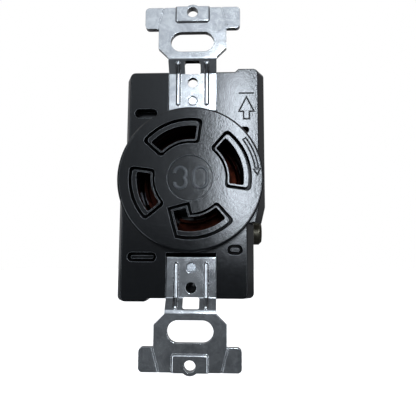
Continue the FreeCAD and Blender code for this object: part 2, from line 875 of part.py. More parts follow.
def flange_pockets():
    """Blind oblong pockets in the flange over the terminals, two with an island left in them."""
    pockets = (
        ("upper_left", "0 - 13.65", "20.5", "6.7", "2.8", False),
        ("lower_left", "0 - 14.05", "0 - 21.55", "8.3", "2.7", True),
        ("lower_right", "12.4", "0 - 19.45", "4.4", "2.9", True),
        ("upper_right", "15.3", "15.3", "2.7", "2.0", False),
    )
    tools = []
    for name, across, up, length, width, has_island in pockets:
        pocket_tool = oblong(name + "_pocket", across, up, length, width, "0 - 1", "flange_pocket_depth")
        if has_island:
            span = (f"{length} - 2 * island_gap", f"{width} - 2 * island_gap")
            depth = ("island_front", "flange_pocket_depth + 1")
            island = oblong(name + "_island", across, up, *span, *depth)
            pocket_tool = cut(name + "_pocket_tool", pocket_tool, [island])
        tools.append(pocket_tool)
    return tools


def digits():
    """A 3 and a 0 of half-round strokes that stand up from the sink to the level of the face."""
    tube = "digit_stroke / 2"
    depth = "digit_stroke / 2 - face_rise"
    zero_radius = "zero_half - digit_stroke / 2"
    rise = "digit_height / 2 - zero_half"
    strokes = []
    for word, sign, start in (("upper", "+", "0"), ("lower", "-", "180")):
        up = f"digit_rise {sign} ({rise})"
        strokes.append(ring_arc(f"zero_{word}", "zero_across", up, depth, zero_radius, tube, start, "180"))
    for word, sign in (("left", "-"), ("right", "+")):
        side = (f"zero_across {sign} ({zero_radius})", f"digit_rise - ({rise})", depth)
        strokes.append(upright_bar(f"zero_{word}", *side, tube, f"2 * ({rise})"))
    for word, sign, start in (("upper", "+", "0 - three_turn"), ("lower", "-", "180")):
        up = f"digit_rise {sign} (digit_height / 2 - three_radius)"
        shape = ("three_radius - digit_stroke / 2", tube, start, "180 + three_turn")
        strokes.append(ring_arc(f"three_{word}", "three_across", up, depth, *shape))
    return strokes


def direction_marks():
    """An arrow and a bar that show which way up, and a curved arrow for the plug's turn."""
    across = "up_arrow_across"
    arrow = (
        (across, "up_arrow_tip"),
        (f"{across} + arrow_head_half", "up_arrow_neck"),
        (f"{across} + arrow_stem_half", "up_arrow_neck"),
        (f"{across} + arrow_stem_half", "up_arrow_foot"),
        (f"{across} - arrow_stem_half", "up_arrow_foot"),
        (f"{across} - arrow_stem_half", "up_arrow_neck"),
        (f"{across} - arrow_head_half", "up_arrow_neck"),
    )
    bar = block(
        "up_bar",
        (f"{across} - arrow_head_half", "0 - 1", "up_bar_rise"),
        (f"{across} + arrow_head_half", "mark_depth", "up_bar_rise + 2 * mark_half"),
    )
    face = "0 - face_rise"
    radii = ("turn_mark_radius - turn_mark_half", "turn_mark_radius + turn_mark_half")
    sweep = sector_groove("turn_band", *radii, "turn_mark_low", "turn_mark_high", face, "mark_depth")
    head = []
    for offset, turn_back in (("0 - turn_head_half", "0"), ("turn_head_half", "0"), ("0", "turn_head_angle")):
        radius = number(f"turn_mark_radius + {offset}")
        turn = math.radians(number(f"turn_mark_low - 0.8 - {turn_back}"))
        head.append((f"{radius * math.cos(turn):.3f}", f"{radius * math.sin(turn):.3f}"))
    point = polygon_groove("turn_point", head, face, "mark_depth")
    return [polygon_groove("up_arrow", arrow, "0", "mark_depth"), bar, sweep, point]


def front_cover():
    blank = cover_blank()
    floor = "inner_front + sheet_thick"
    through = "cover_thick + 1"
    tools = []
    for name, _, _ in POLES:
        tools += slot_tools(name)
        tools += chamber_tools(name, "face_thick - face_rise", through, "cover")
    tools.append(rod("face_sink", "0", "0", "centre_radius", "0 - face_rise - 1", "centre_sink - face_rise"))
    for level, word in ((UPPER, "upper"), (LOWER, "lower")):
        low, high = between(f"{level} * channel_start", f"{level} * (rim_lip + 2)")
        tools.append(block(word + "_channel", ("0 - channel_half", "0 - 3", low), ("channel_half", floor, high)))
        low, high = between(f"{level} * leg_gap_start", f"{level} * leg_gap_end")
        tools.append(block(word + "_leg_gap", ("0 - leg_gap_half", "1", low), ("leg_gap_half", through, high)))
        low, high = between(f"{level} * notch_start", f"{level} * (rim_lip + 2)")
        tools.append(block(word + "_notch", ("0 - notch_half", "1", low), ("notch_half", through, high)))
        tools.append(rod(word + "_screw_way", "0", f"{level} * screw_centre", "screw_way_radius", "1", through))
    tools += flange_pockets() + direction_marks()
    return fuse("front_cover", [cut("cover_plain", blank, tools), *digits()])


def rear_blank():
    """The rim under the cover and the block behind it."""
    body = new_body("rear_blank")
    sketch = plane_sketch(body, "XZ_Plane", "0 - cover_thick - rim_thick")
    draw_polygon(sketch, outline("rim"))
    rim = pad(body, sketch, "rim_thick")
    round_edges(body, rim, edge_at(1, *far_corners(outline("rim"), "rim_top")), "rim_corner")
    half, top = "core_half", "core_top"
    corners = ((half, top), (half, f"0 - {top}"), (f"0 - {half}", f"0 - {top}"), (f"0 - {half}", top))
    sketch = plane_sketch(body, "XZ_Plane", "0 - back_face")
    draw_polygon(sketch, corners)
    core = pad(body, sketch, "back_face - cover_thick - rim_thick + 0.5")
    places = [(number(across), number(along)) for across, along in corners]
    core = round_edges(body, core, edge_at(1, *places), "core_corner")
    round_edges(body, core, lies_at_depth(number("back_face")), "core_edge")
    return body


def corner_block(name, side, level, across, depth, up):
    """A block at one terminal, given by ranges of distance from the middle lines."""
    xs = between(*(f"{side} * ({text})" for text in across))
    zs = between(*(f"{level} * ({text})" for text in up))
    return block(name, (xs[0], depth[0], zs[0]), (xs[1], depth[1], zs[1]))


def terminal_tools(name, side, level):
    """The bay of one terminal, open at its side, with two wire holes through the back wall."""
    bay_back = "back_face - back_wall"
    height = "terminal_height"
    tools = [
        corner_block(
            name + "_bay",
            side,
            level,
            ("bay_inner", "core_half + 8"),
            ("contact_back", bay_back),
            (f"{height} - bay_half", f"{height} + bay_half"),
        ),
        corner_block(
            name + "_link_room",
            side,
            level,
            ("link_inner - wall_gap", "tail_outer + wall_gap"),
            ("cover_thick - 0.5", "contact_back + 0.5"),
            ("link_low - wall_gap", "link_high + wall_gap"),
        ),
        corner_block(
            name + "_tail_room",
            side,
            level,
            ("tail_inner - wall_gap", "tail_outer + wall_gap"),
            ("cover_thick - 0.5", "contact_back + 0.5"),
            (f"{height} - tail_half - wall_gap", f"{height} + tail_half + wall_gap"),
        ),
    ]
    across = f"{side} * (clamp_outer + tail_inner) / 2"
    for sign, word in (("-", "low"), ("+", "high")):
        up = f"{level} * ({height} {sign} wire_offset)"
        hole = (across, up, "wire_hole_radius")
        tools.append(rod(f"{name}_{word}_wire", *hole, bay_back + " - 1", "back_face + 1"))
        mouth = ("back_face - wire_mouth_depth", "back_face", "wire_mouth_radius")
        tools.append(rod(f"{name}_{word}_mouth", *hole, *mouth))
    return tools


def coring_tools():
    """Hollows moulded into the back, which keep the walls even."""
    depth = ("back_face - coring_depth", "back_face + 1")
    middle = (("coring_rib_half", "coring_middle_outer"), depth, ("coring_rib_half", "coring_middle_end"))
    end = (("coring_end_inner", "coring_end_outer"), depth, ("coring_end_low", "coring_end_high"))
    tools = []
    for side, across_word in ((RIGHT, "right"), (LEFT, "left")):
        for level, up_word in ((UPPER, "upper"), (LOWER, "lower")):
            name = f"coring_{up_word}_{across_word}"
            tools.append(corner_block(name + "_middle", side, level, *middle))
            tools.append(corner_block(name + "_end", side, level, *end))
    return tools


def rear_housing():
    blank = rear_blank()
    before = "cover_thick - 0.5"
    floor = "contact_back + spring_thick + wall_gap"
    tools = coring_tools()
    for name, side, level in POLES:
        tools += chamber_tools(name, before, floor, "housing")
        tools += terminal_tools(name, side, level)
    for level, word in ((UPPER, "upper"), (LOWER, "lower")):
        low, high = between(f"{level} * leg_gap_start", f"{level} * leg_gap_end")
        tools.append(block(word + "_leg_room", ("0 - leg_gap_half", before, low), ("leg_gap_half", "leg_back", high)))
        low, high = between(f"{level} * notch_start", f"{level} * (rim_lip + 2)")
        tools.append(block(word + "_notch_room", ("0 - notch_half", before, low), ("notch_half", "notch_back", high)))
        up = f"{level} * screw_centre"
        tools.append(rod(word + "_screw_hole", "0", up, "screw_way_radius", before, "back_face + 1"))
        counterbore = ("counterbore_radius", "back_face - counterbore_depth", "back_face + 1")
        tools.append(rod(word + "_counterbore", "0", up, *counterbore))
    gap = "wall_gap"
    bond_back = "leg_back + bond_thick"
    tools.append(
        block(
            "bond_drop_room",
            (f"bond_inner - {gap}", before, f"0 - bond_low - {gap}"),
            (f"bond_outer + {gap}", bond_back, f"0 - bond_high + {gap}"),
        )
    )
    tools.append(
        block(
            "bond_foot_room",
            (f"0 - bond_left - {gap}", before, f"0 - bond_low - {gap}"),
            (f"bond_outer + {gap}", bond_back, f"0 - bond_turn + {gap}"),
        )
    )
    return cut("rear_housing", blank, tools)


# ---------------------------------------------------------------- copper and springs


def contact(name, side, level):
    """Two concentric leaves on a base, with a link out to the terminal's tail."""
    start, end = f"{name}_start - lead_angle", f"{name}_end"
    base_front = "contact_back - leaf_thick"
    sweep = (start, end, "leaf_front", "contact_back")
    inner_leaf = sector(f"{name}_inner_leaf", "leaf_inner", "leaf_inner + leaf_thick", *sweep)
    outer_leaf = sector(f"{name}_outer_leaf", "leaf_outer - leaf_thick", "leaf_outer", *sweep)
    base = sector(f"{name}_base", "leaf_inner", "leaf_outer", start, end, base_front, "contact_back")
    link = corner_block(
        f"{name}_link",
        side,
        level,
        ("link_inner", "tail_outer"),
        (base_front, "contact_back"),
        ("link_low", "link_high"),
    )
    height = "terminal_height"
    tail = corner_block(
        f"{name}_tail",
        side,
        level,
        ("tail_inner", "tail_outer"),
        (base_front, "tail_back"),
        (f"{height} - tail_half", f"{height} + tail_half"),
    )
    jaw = ("leaf_inner + leaf_thick", "leaf_outer - leaf_thick", f"{start} - 1", f"{end} + 1")
    jaw_room = sector(f"{name}_jaw_room", *jaw, "leaf_front - 1", base_front)
    copper = fuse(f"{name}_copper", [inner_leaf, outer_leaf, base, link, tail])
    leaves = cut(f"{name}_leaves", copper, [jaw_room])
    hole = side_rod(f"{name}_tail_hole", side, level, "tail_inner - 1", "tail_outer + 1", "tail_hole_radius")
    return cut("contact_" + name, leaves, [hole])


def side_rod(name, side, level, inner, outer, radius):
    """A cylinder on the terminal's axis, from an inner to an outer distance from the middle."""
    low, high = between(f"{side} * ({inner})", f"{side} * ({outer})")
    solid = doc.addObject("Part::Cylinder", name)
    solid.Radius = number(radius)
    bind(solid, "Radius", radius)
    solid.Height = number(f"({high}) - ({low})")
    bind(solid, "Height", f"({high}) - ({low})")
    up = f"{level} * terminal_height"
    base = Vector(number(low), number("terminal_depth"), number(up))
    solid.Placement = Placement(base, Rotation(Vector(0, 1, 0), 90))
    for axis, text in zip("xyz", (low, "terminal_depth", up)):
        bind(solid, "Placement.Base." + axis, text)
    return solid


def contact_spring(name):
    """A steel clip: an arm against each leaf and a bridge under the base."""
    middle = f"({name}_start + {name}_end) / 2"
    start, end = f"{middle} - spring_sweep / 2", f"{middle} + spring_sweep / 2"
    back = "contact_back + spring_thick"
    inner, outer = "leaf_inner - spring_thick", "leaf_outer + spring_thick"
    clip = sector(f"{name}_clip", inner, outer, start, end, "spring_front", back)
    leaves = ("leaf_inner", "leaf_outer", f"{start} - 1", f"{end} + 1")
    room = sector(f"{name}_clip_room", *leaves, "spring_front - 1", "contact_back")
    return cut("contact_spring_" + name, clip, [room])


def earth_bond_strip():
    """An L-shaped strip from the lower strap's leg to the link of the earth contact."""
    corners = (
        ("0 - bond_left", "0 - bond_turn"),
        ("bond_inner", "0 - bond_turn"),
        ("bond_inner", "0 - bond_high"),
        ("bond_outer", "0 - bond_high"),
        ("bond_outer", "0 - bond_low"),
        ("0 - bond_left", "0 - bond_low"),
    )
    strip = prism("bond_plate", corners, "leg_back", "leg_back + bond_thick")
    depth = ("leg_back - 1", "leg_back + bond_thick + 1")
    shank_way = rod("bond_way", "0", "0 - screw_centre", "screw_way_radius", *depth)
    return cut("earth_bond_strip", strip, [shank_way])


# ---------------------------------------------------------------- terminals and screws


def pan_screw(name, kind, length, placement):
    """A pan-head screw with a cross recess; its head's underside is at its own origin, its head up +Z."""
    sizes = ("head_radius", "head_thick", "head_edge", "shank_radius", "recess_width", "recess_depth")
    head_radius, head_thick, head_edge, shank_radius, width, depth = (kind + size for size in sizes)
    body = new_body(name)
    profile = (
        ("0", f"0 - ({length})"),
        (f"{shank_radius} - screw_tip", f"0 - ({length})"),
        (shank_radius, f"screw_tip - ({length})"),
        (shank_radius, "0"),
        (head_radius, "0"),
        (head_radius, f"{head_thick} - {head_edge}"),
        (f"{head_radius} - {head_edge}", head_thick),
        ("0", head_thick),
    )
    sketch = plane_sketch(body, "XZ_Plane")
    draw_polygon(sketch, profile)
    turned = body.newObject("PartDesign::Revolution", name + "_turned")
    turned.Profile = sketch
    turned.ReferenceAxis = (sketch, ["V_Axis"])
    turned.Angle = 360
    doc.recompute()
    sketch = plane_sketch(body, "XY_Plane", head_thick)
    half, reach = f"({width}) / 2", f"({head_radius}) * recess_reach"
    cross = (
        (half, reach),
        (half, half),
        (reach, half),
        (reach, f"0 - {half}"),
        (half, f"0 - {half}"),
        (half, f"0 - {reach}"),
    )
    cross += tuple((f"0 - {across}", along) for across, along in reversed(cross))
    draw_polygon(sketch, cross)
    pocket(body, sketch, depth)
    body.Placement = placement
    return body


def terminal_screw(name, side, level):
    """Turns about its own axis with its head against the washer on the tail."""
    head_under = number("tail_outer + washer_thick")
    base = Vector(side * head_under, number("terminal_depth"), level * number("terminal_height"))
    length = "tail_outer + washer_thick - terminal_screw_end"
    placement = Placement(base, Rotation(Vector(0, 0, 1), Vector(side, 0, 0)))
    return pan_screw("terminal_screw_" + name, "terminal_", length, placement)


def clamp_plate(name, side, level):
    """A threaded plate that the screw draws outward on the wires."""
    height = "terminal_height"
    plate = corner_block(
        f"{name}_clamp",
        side,
        level,
        ("clamp_inner", "clamp_outer"),
        ("clamp_front", "clamp_back"),
        (f"{height} - clamp_half", f"{height} + clamp_half"),
    )
    way = ("clamp_inner - 1", "clamp_outer + 1")
    hole = side_rod(f"{name}_clamp_hole", side, level, *way, "clamp_hole_radius")
    return cut("clamp_plate_" + name, plate, [hole])


def terminal_washers():
    """The four washers under the terminal screws' heads."""
    rings = []
    for name, side, level in POLES:
        reach = ("tail_outer", "tail_outer + washer_thick")
        disc = side_rod(f"{name}_washer_disc", side, level, *reach, "washer_radius")
        way = ("tail_outer - 1", "tail_outer + washer_thick + 1")
        hole = side_rod(f"{name}_washer_hole", side, level, *way, "tail_hole_radius")
        rings.append(cut(f"{name}_washer", disc, [hole]))
    group = doc.addObject("Part::Compound", "terminal_washers")
    group.Links = rings
    return group


def assembly_screw(word, level):
    """Runs from a counterbore in the back to the strap, where its end shows."""
    head_under = number("back_face - counterbore_depth")
    base = Vector(0, head_under, level * number("screw_centre"))
    length = "back_face - counterbore_depth - inner_front"
    placement = Placement(base, Rotation(Vector(0, 0, 1), Vector(0, 1, 0)))
    return pan_screw(word + "_assembly_screw", "assembly_", length, placement)


# ---------------------------------------------------------------- the parts


def write_parts(parts):
    doc.recompute()
    for item in doc.Objects:
        assert not {"Invalid", "Error"} & set(item.State), f"{item.Name} failed: {item.State}"
    os.makedirs("parts", exist_ok=True)
    for item in parts:
        item.Label = item.Name
        shape = item.Shape
        assert not shape.isNull() and shape.isValid(), f"{item.Name} has no valid shape"
        print(item.Name, round(shape.Volume, 1), len(shape.Solids))
        shape.exportStep(f"parts/{item.Label}.step")


parts = [strap("upper_strap", UPPER), strap("lower_strap", LOWER)]
parts += [front_cover(), rear_housing(), earth_bond_strip()]
for pole in POLES:
    parts += [contact(*pole), contact_spring(pole[0]), clamp_plate(*pole), terminal_screw(*pole)]
parts += [terminal_washers(), assembly_screw("upper", UPPER), assembly_screw("lower", LOWER)]
write_parts(parts)
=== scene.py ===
import json
import math

import bpy
from mathutils import Matrix, Vector

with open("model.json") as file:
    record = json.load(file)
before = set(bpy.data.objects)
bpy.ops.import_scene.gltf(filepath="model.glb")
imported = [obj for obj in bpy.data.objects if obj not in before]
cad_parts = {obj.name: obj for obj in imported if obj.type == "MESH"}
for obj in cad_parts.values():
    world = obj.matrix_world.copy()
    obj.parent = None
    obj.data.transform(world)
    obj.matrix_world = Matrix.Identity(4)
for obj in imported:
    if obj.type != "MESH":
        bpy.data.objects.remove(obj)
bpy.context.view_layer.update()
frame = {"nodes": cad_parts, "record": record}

MM = 0.001


# ---------------------------------------------------------------- camera

CAMERA_PLACE = Vector((8.7, -111.6, -19.9)) * MM
CAMERA_YAW = math.radians(-2.03)
CAMERA_PITCH = math.radians(6.29)
CAMERA_ROLL = math.radians(0.22)
CAMERA_LENS = 34.03
SENSOR_WIDTH = 36.0
CLIP_START = 0.005
CLIP_END = 20.0


def make_camera():
    """The camera close in front of the round face, a little below it and to the right."""
    ahead = Vector((
        math.sin(CAMERA_YAW) * math.cos(CAMERA_PITCH),
        math.cos(CAMERA_YAW) * math.cos(CAMERA_PITCH),
        math.sin(CAMERA_PITCH),
    ))
    level = Vector((math.cos(CAMERA_YAW), -math.sin(CAMERA_YAW), 0))
    upright = level.cross(ahead)
    right = level * math.cos(CAMERA_ROLL) + upright * math.sin(CAMERA_ROLL)
    up = upright * math.cos(CAMERA_ROLL) - level * math.sin(CAMERA_ROLL)
    turn = Matrix((right, up, -ahead)).transposed()
    data = bpy.data.cameras.new("camera")
    data.lens = CAMERA_LENS
    data.sensor_width = SENSOR_WIDTH
    data.clip_start = CLIP_START
    data.clip_end = CLIP_END
    camera = bpy.data.objects.new("camera", data)
    camera.matrix_world = Matrix.Translation(CAMERA_PLACE) @ turn.to_4x4()
    bpy.context.scene.collection.objects.link(camera)
    bpy.context.scene.camera = camera


# ---------------------------------------------------------------- node helpers

EDGE_SAMPLES = 6
OPENNESS_SAMPLES = 8


class Tree:
    """Adds nodes to one material or world and joins them."""

    def __init__(self, owner):
        owner.use_nodes = True
        self.nodes = owner.node_tree.nodes
        self.links = owner.node_tree.links
        self.nodes.clear()

    def add(self, kind, **values):
        node = self.nodes.new(kind)
        for name, value in values.items():
            if hasattr(node, name):
                setattr(node, name, value)
            else:
                self.feed(node, name.replace("_", " "), value)
        return node

    def feed(self, node, name, value):
        socket = next(s for s in node.inputs if s.name.lower() == name.lower() and s.enabled)
        if isinstance(value, bpy.types.NodeSocket):
            self.links.new(value, socket)
        else:
            socket.default_value = value

    def noise(self, where, scale, detail, rough, distort=0.0):
        """Cloudy noise between 0 and 1, mostly from 0.3 to 0.7."""
        node = self.add("ShaderNodeTexNoise", scale=scale, detail=detail, roughness=rough, distortion=distort)
        self.links.new(where, node.inputs["Vector"])
        return node.outputs["Fac"]

    def span(self, value, low, high, start=0.0, end=1.0):
        """Maps value from start..end onto low..high."""
        node = self.add("ShaderNodeMapRange")
        for name, number in (("From Min", start), ("From Max", end), ("To Min", low), ("To Max", high)):
            node.inputs[name].default_value = number
        self.links.new(value, node.inputs["Value"])
        return node.outputs["Result"]

    def math(self, kind, one, other):
        node = self.add("ShaderNodeMath", operation=kind)
        for index, value in enumerate((one, other)):
            if isinstance(value, bpy.types.NodeSocket):
                self.links.new(value, node.inputs[index])
            else:
                node.inputs[index].default_value = value
        return node.outputs["Value"]

    def blend(self, share, one, other):
        """A colour between two colours."""
        node = self.add("ShaderNodeMix", data_type="RGBA")
        for name, value in (("Factor", share), ("A", one), ("B", other)):
            self.feed(node, name, value)
        return next(s for s in node.outputs if s.enabled)

    def bump(self, height, distance, before=None):
        """The normal tilted by a height pattern, on top of the normal before it."""
        node = self.add("ShaderNodeBump")
        node.inputs["Strength"].default_value = 1.0
        node.inputs["Distance"].default_value = distance
        self.links.new(height, node.inputs["Height"])
        if before is not None:
            self.links.new(before, node.inputs["Normal"])
        return node.outputs["Normal"]

    def soft_edges(self, radius):
        """The normal with the edges rounded to a radius, which gives them a fine sheen."""
        node = self.add("ShaderNodeBevel", samples=EDGE_SAMPLES)
        node.inputs["Radius"].default_value = radius
        return node.outputs["Normal"]

    def edge_share(self, radius, start, full):
        """0 on flat faces, rising to 1 along edges, by how far the softened normal turns."""
        turned = self.add("ShaderNodeVectorMath", operation="DOT_PRODUCT")
        self.links.new(self.soft_edges(radius), turned.inputs[0])
        self.links.new(self.add("ShaderNodeNewGeometry").outputs["Normal"], turned.inputs[1])
        return self.span(turned.outputs["Value"], 0.0, 1.0, start, full)

    def openness(self, reach):
        """1 on open faces, falling to 0 deep in grooves and corners."""
        node = self.add("ShaderNodeAmbientOcclusion", samples=OPENNESS_SAMPLES)
        node.inputs["Distance"].default_value = reach
        return node.outputs["AO"]

    def stretched(self, where, scale):
        """The place scaled along each axis, for a pattern drawn out along one of them."""
        node = self.add("ShaderNodeMapping")
        node.inputs["Scale"].default_value = scale
        self.links.new(where, node.inputs["Vector"])
        return node.outputs["Vector"]


def new_material(name):
    """A material with one shader, its node tree and the place on the object."""
    material = bpy.data.materials.new(name)
    tree = Tree(material)
    where = tree.add("ShaderNodeTexCoord").outputs["Object"]
    shader = tree.add("ShaderNodeBsdfPrincipled")
    out = tree.add("ShaderNodeOutputMaterial")
    tree.links.new(shader.outputs["BSDF"], out.inputs["Surface"])
    return material, tree, where, shader


def colour(red, green, blue):
    return (red, green, blue, 1.0)


# ---------------------------------------------------------------- materials

# A SPREAD is the stretch of a pattern's values over which it takes effect, from none to full.
# Scales are in cycles a metre, and reaches, radii, edges and heights in metres.

DIGITS_FOOT = -6.17 * MM
DIGITS_TOP = -6.32 * MM
DIGITS_REACH = 5.9 * MM
DIGITS_FADE = 0.1 * MM

BLACK_DEEP = colour(0.0014, 0.0017, 0.0022)
BLACK_BLOOM = colour(0.0024, 0.0029, 0.0036)
BLACK_SPECK = colour(0.008, 0.0085, 0.0095)
BLACK_EDGE_HIGHLIGHT = colour(0.42, 0.44, 0.46)
BLACK_DIGIT_HIGHLIGHT = colour(0.085, 0.09, 0.097)
# Near black, for the painted shade in grooves and corners.
BLACK_PAINTED_GROOVE_SHADE = colour(0.0015, 0.0015, 0.0016)
BLOOM_SCALE = 90
BLOOM_SPREAD = (0.35, 0.7)
SPECK_SCALE = 3800
SPECK_SPREAD = (0.68, 0.8)
SPECK_SHARE = 0.5
PATCH_SCALE = 640
PATCH_SPREAD = (0.35, 0.65)
PATCH_HEIGHT = 0.014 * MM
GRAIN_SCALE = 2100
GRAIN_HEIGHT = 0.016 * MM
GRAIN_ROUGHNESS = 0.04
EDGE_HIGHLIGHT_SHARES = (0.55, 1.0)
EDGE_HIGHLIGHT_RADIUS = 0.16 * MM
EDGE_HIGHLIGHT_START = 0.992
EDGE_HIGHLIGHT_FULL = 0.86
DIGIT_HIGHLIGHT_SHARES = (0.7, 1.0)
PAINTED_GROOVE_SHADE_REACH = 1.6 * MM
PAINTED_GROOVE_SHADE_SPREAD = (0.42, 0.88)
GLOSS = (0.045, 0.12)
GLOSS_SPREAD = (0.3, 0.72)
MOULDING_EDGE = 0.13 * MM
MOULDING_IOR = 1.52
MOULDING_SPECULAR = 0.5

CLOUD_SCALE = 260
CLOUD_SPREAD = (0.3, 0.7)
STAIN_SCALE = 340
STAIN_SPREAD = (0.38, 0.64)
ROLLED_SCALES = (1500, 900, 160)
ROLLED_ROUGHNESS = 0.03
ROLLED_HEIGHT_SHARE = 0.12
PLATED_EDGE = 0.16 * MM

# Each plated metal: its tint, its stains' tint, its least and most roughness and its ripples' height.
PLATED_METALS = {
    "strap_steel": ((0.7, 0.705, 0.71), (0.54, 0.545, 0.56), (0.07, 0.17), 0.012 * MM),
    # The spring steel's tints are near black: painted shade, since the springs sit deep in the dark slots.
    "spring_steel": ((0.07, 0.07, 0.075), (0.03, 0.03, 0.033), (0.22, 0.36), 0.02 * MM),
    "clamp_brass": ((0.7, 0.57, 0.28), (0.5, 0.38, 0.17), (0.24, 0.4), 0.02 * MM),
    "washer_steel": ((0.6, 0.6, 0.58), (0.46, 0.46, 0.45), (0.22, 0.34), 0.02 * MM),
    "screw_steel": ((0.62, 0.64, 0.66), (0.52, 0.54, 0.56), (0.2, 0.3), 0.004 * MM),
}

# Painted shade: the copper is near black because the contacts sit deep in the dark slots; the tarnish is
# darker still.
COPPER_PAINTED_SHADE = colour(0.013, 0.003, 0.0015)
COPPER_TARNISH_PAINTED_SHADE = colour(0.004, 0.002, 0.0018)
TARNISH_SCALE = 240
TARNISH_SPREAD = (0.35, 0.72)
COPPER_ROUGHNESS = (0.3, 0.55)
COPPER_ROUGHNESS_SPREAD = (0.3, 0.7)
DRAWN_SCALES = (900, 200, 2400)
DRAWN_HEIGHT = 0.006 * MM

OLIVE = colour(0.075, 0.067, 0.047)
OLIVE_WORN = colour(0.13, 0.118, 0.09)
OLIVE_METALLIC = 0.85
OLIVE_SCALE = 700
OLIVE_SPREAD = (0.45, 0.75)
OLIVE_ROUGHNESS = (0.3, 0.46)
OLIVE_ROUGHNESS_SPREAD = (0.3, 0.7)
OLIVE_HEIGHT = 0.015 * MM


def digit_share(tree, where):
    """1 on the raised strokes of the digits, inside the centre circle, and 0 elsewhere."""
    parts = tree.add("ShaderNodeSeparateXYZ")
    tree.links.new(where, parts.inputs["Vector"])
    squares = [tree.math("MULTIPLY", parts.outputs[axis], parts.outputs[axis]) for axis in "XZ"]
    away = tree.math("SQRT", tree.math("ADD", *squares), 0.0)
    inside = tree.span(away, 1.0, 0.0, DIGITS_REACH, DIGITS_REACH + DIGITS_FADE)
    raised = tree.span(parts.outputs["Y"], 0.0, 1.0, DIGITS_FOOT, DIGITS_TOP)
    return tree.math("MULTIPLY", inside, raised)


def moulding_material():
    """Black phenolic moulding: glossy, orange peel, painted shade in grooves, painted highlights on edges and
    digit strokes.
    """
    material, tree, where, shader = new_material("black_moulding")
    bloom = tree.noise(where, BLOOM_SCALE, detail=4, rough=0.6)
    grain = tree.noise(where, GRAIN_SCALE, detail=3, rough=0.6)
    patch = tree.noise(where, PATCH_SCALE, detail=5, rough=0.66, distort=0.4)
    speck = tree.noise(where, SPECK_SCALE, detail=2, rough=0.5)
    # Painted shade: an ambient-occlusion mask darkens the colour and cuts the reflection in grooves, corners
    # and hollows.
    unshaded_share = tree.span(tree.openness(PAINTED_GROOVE_SHADE_REACH), 0.0, 1.0, *PAINTED_GROOVE_SHADE_SPREAD)
    base = tree.blend(tree.span(bloom, 0.0, 1.0, *BLOOM_SPREAD), BLACK_DEEP, BLACK_BLOOM)
    base = tree.blend(tree.span(speck, 0.0, SPECK_SHARE, *SPECK_SPREAD), base, BLACK_SPECK)
    # Painted highlight: pale lines along the edges, in patches, where the softened normal turns.
    edges = tree.edge_share(EDGE_HIGHLIGHT_RADIUS, EDGE_HIGHLIGHT_START, EDGE_HIGHLIGHT_FULL)
    edge_highlight = tree.math("MULTIPLY", edges, tree.span(patch, *EDGE_HIGHLIGHT_SHARES, *PATCH_SPREAD))
    base = tree.blend(edge_highlight, base, BLACK_EDGE_HIGHLIGHT)
    # Painted highlight: the raised digit strokes are painted paler, in patches.
    digits = digit_share(tree, where)
    digit_highlight = tree.math("MULTIPLY", digits, tree.span(patch, *DIGIT_HIGHLIGHT_SHARES, *PATCH_SPREAD))
    base = tree.blend(digit_highlight, base, BLACK_DIGIT_HIGHLIGHT)
    tree.feed(shader, "Base Color", tree.blend(unshaded_share, BLACK_PAINTED_GROOVE_SHADE, base))
    tree.feed(shader, "Specular IOR Level", tree.math("MULTIPLY", unshaded_share, MOULDING_SPECULAR))
    gloss = tree.span(patch, *GLOSS, *GLOSS_SPREAD)
    tree.feed(shader, "Roughness", tree.math("ADD", gloss, tree.span(grain, 0.0, GRAIN_ROUGHNESS)))
    tree.feed(shader, "IOR", MOULDING_IOR)
    peel = tree.bump(patch, PATCH_HEIGHT, tree.soft_edges(MOULDING_EDGE))
    tree.feed(shader, "Normal", tree.bump(grain, GRAIN_HEIGHT, peel))
    return material


def plated_material(name, tint, stain_tint, roughness, ripple):
    """Plated metal: mottled brightness, faint rolling marks and soft ripples."""
    material, tree, where, shader = new_material(name)
    cloud = tree.noise(where, CLOUD_SCALE, detail=5, rough=0.62, distort=0.5)
    rolled = tree.noise(tree.stretched(where, ROLLED_SCALES), 1.0, detail=3, rough=0.6)
    stain = tree.noise(where, STAIN_SCALE, detail=5, rough=0.68, distort=0.8)
    tree.feed(shader, "Metallic", 1.0)
    stained = tree.span(stain, 0.0, 1.0, *STAIN_SPREAD)
    tree.feed(shader, "Base Color", tree.blend(stained, colour(*tint), colour(*stain_tint)))
    clouded = tree.span(cloud, *roughness, *CLOUD_SPREAD)
    tree.feed(shader, "Roughness", tree.math("ADD", clouded, tree.span(rolled, 0.0, ROLLED_ROUGHNESS)))
    wave = tree.bump(cloud, ripple, tree.soft_edges(PLATED_EDGE))
    tree.feed(shader, "Normal", tree.bump(rolled, ripple * ROLLED_HEIGHT_SHARE, wave))
    return material


def copper_material():
    """Copper alloy strip, its colour painted near black as painted shade for its place deep in the slots,
    darker still in tarnished patches.
    """
    material, tree, where, shader = new_material("contact_copper")
    tarnish = tree.noise(where, TARNISH_SCALE, detail=5, rough=0.65, distort=0.6)
    drawn = tree.noise(tree.stretched(where, DRAWN_SCALES), 1.0, detail=2, rough=0.5)
    tree.feed(shader, "Metallic", 1.0)
    tarnished = tree.span(tarnish, 0.0, 1.0, *TARNISH_SPREAD)
    tree.feed(shader, "Base Color", tree.blend(tarnished, COPPER_PAINTED_SHADE, COPPER_TARNISH_PAINTED_SHADE))
    tree.feed(shader, "Roughness", tree.span(tarnish, *COPPER_ROUGHNESS, *COPPER_ROUGHNESS_SPREAD))
    tree.feed(shader, "Normal", tree.bump(drawn, DRAWN_HEIGHT))
    return material


